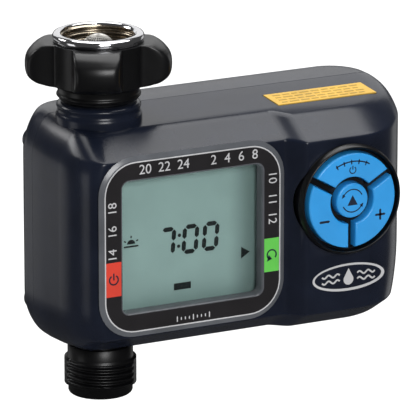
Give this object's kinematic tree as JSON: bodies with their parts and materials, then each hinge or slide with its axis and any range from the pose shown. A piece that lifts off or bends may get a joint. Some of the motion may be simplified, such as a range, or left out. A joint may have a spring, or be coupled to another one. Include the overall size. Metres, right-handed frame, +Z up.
{
  "type": "hose tap water timer",
  "caption": "Electronic water timer with a swivel tap inlet, display, round blue keypad, internal solenoid valve, battery drawer and threaded hose outlet.",
  "frame": {"origin": "centre of the swivel ring top face, where the tap spout screws in", "axes": "+Z up along the water way, out of the inlet; the front face looks along -Y; +X to the right along the front"},
  "size_m": [0.1448, 0.0659, 0.1335],
  "materials": {
    "case_plastic": "satin, fine moulded grain",
    "black_plastic": "semi-gloss moulded",
    "valve_plastic": "glass-filled nylon",
    "key_plastic": "satin blue",
    "switch_black": "moulded",
    "rubber": "soft matte",
    "chrome": "bright plated, brassy inside",
    "steel": "plain",
    "badge_metal": "printed oval",
    "label_yellow": "printed sticker, no text",
    "window_clear": "clear",
    "lcd": "reflective liquid crystal",
    "board_green": "solder mask",
    "coil_winding": "lacquered winding",
    "brass": "plain",
    "cell_skin": "printed sleeve"
  },
  "bodies": {
    "case": {"front_shell": "case_plastic", "rear_cover": "case_plastic", "case_seal": "rubber", "cover_screw_1": "steel", "cover_screw_2": "steel", "cover_screw_3": "steel", "cover_screw_4": "steel", "top_label": "label_yellow", "front_badge": "badge_metal", "display_bezel": "black_plastic", "display_window": "window_clear", "lcd_panel": "lcd", "circuit_board": "board_green", "board_screw_1": "steel", "board_screw_2": "steel", "board_screw_3": "steel", "board_screw_4": "steel", "keypad_surround": "black_plastic", "switch_manual": "switch_black", "switch_minus": "switch_black", "switch_plus": "switch_black", "switch_select": "switch_black", "swivel_retainer": "black_plastic", "inlet_washer": "rubber", "filter_screen": "steel", "valve_body": "valve_plastic", "diaphragm": "rubber", "valve_spring": "steel", "valve_bonnet": "valve_plastic", "bonnet_screw_1": "steel", "bonnet_screw_2": "steel", "bonnet_screw_3": "steel", "bonnet_screw_4": "steel", "solenoid_coil": "coil_winding", "solenoid_yoke": "steel", "plunger_spring": "steel", "solenoid_stop": "steel", "coil_lead_1": "rubber", "coil_lead_2": "rubber", "outlet_fitting": "black_plastic", "outlet_seal": "rubber", "bay_pin_1": "brass", "bay_pin_2": "brass"},
    "swivel": {"swivel_knob": "black_plastic", "swivel_ring": "chrome"},
    "manual_key": {"key_manual": "key_plastic"},
    "minus_key": {"key_minus": "key_plastic"},
    "plus_key": {"key_plus": "key_plastic"},
    "select_key": {"key_select": "key_plastic"},
    "drawer": {"battery_tray": "black_plastic", "tray_seal": "rubber", "battery_link": "brass", "battery_spring_1": "steel", "battery_cell_1": "cell_skin", "battery_plate_1": "brass", "battery_cell_2": "cell_skin", "battery_spring_2": "steel", "battery_plate_2": "brass"},
    "plunger": {"solenoid_plunger": "steel"},
    "disc": {"valve_disc": "rubber"}
  },
  "joints": [
    {"name": "swivel_spin", "type": "hinge", "parent": "case", "child": "swivel", "pos_m": [0, 0, 0], "axis": [0, 0, 1], "continuous": true},
    {"name": "manual_press", "type": "slide", "parent": "case", "child": "manual_key", "axis": [0, 1, 0], "range_m": [0, 0.001], "stiffness_N_per_m": 900},
    {"name": "minus_press", "type": "slide", "parent": "case", "child": "minus_key", "axis": [0, 1, 0], "range_m": [0, 0.001], "stiffness_N_per_m": 900},
    {"name": "plus_press", "type": "slide", "parent": "case", "child": "plus_key", "axis": [0, 1, 0], "range_m": [0, 0.001], "stiffness_N_per_m": 900},
    {"name": "select_press", "type": "slide", "parent": "case", "child": "select_key", "axis": [0, 1, 0], "range_m": [0, 0.001], "stiffness_N_per_m": 900},
    {"name": "drawer_slide", "type": "slide", "parent": "case", "child": "drawer", "axis": [0, 1, 0], "range_m": [0, 0.034]},
    {"name": "plunger_lift", "type": "slide", "parent": "case", "child": "plunger", "axis": [1, 0, 0], "range_m": [0, 0.002], "stiffness_N_per_m": 250, "deforming": ["plunger_spring"]},
    {"name": "disc_lift", "type": "slide", "parent": "case", "child": "disc", "axis": [1, 0, 0], "range_m": [0, 0.002], "stiffness_N_per_m": 250, "deforming": ["valve_spring"]}
  ]
}
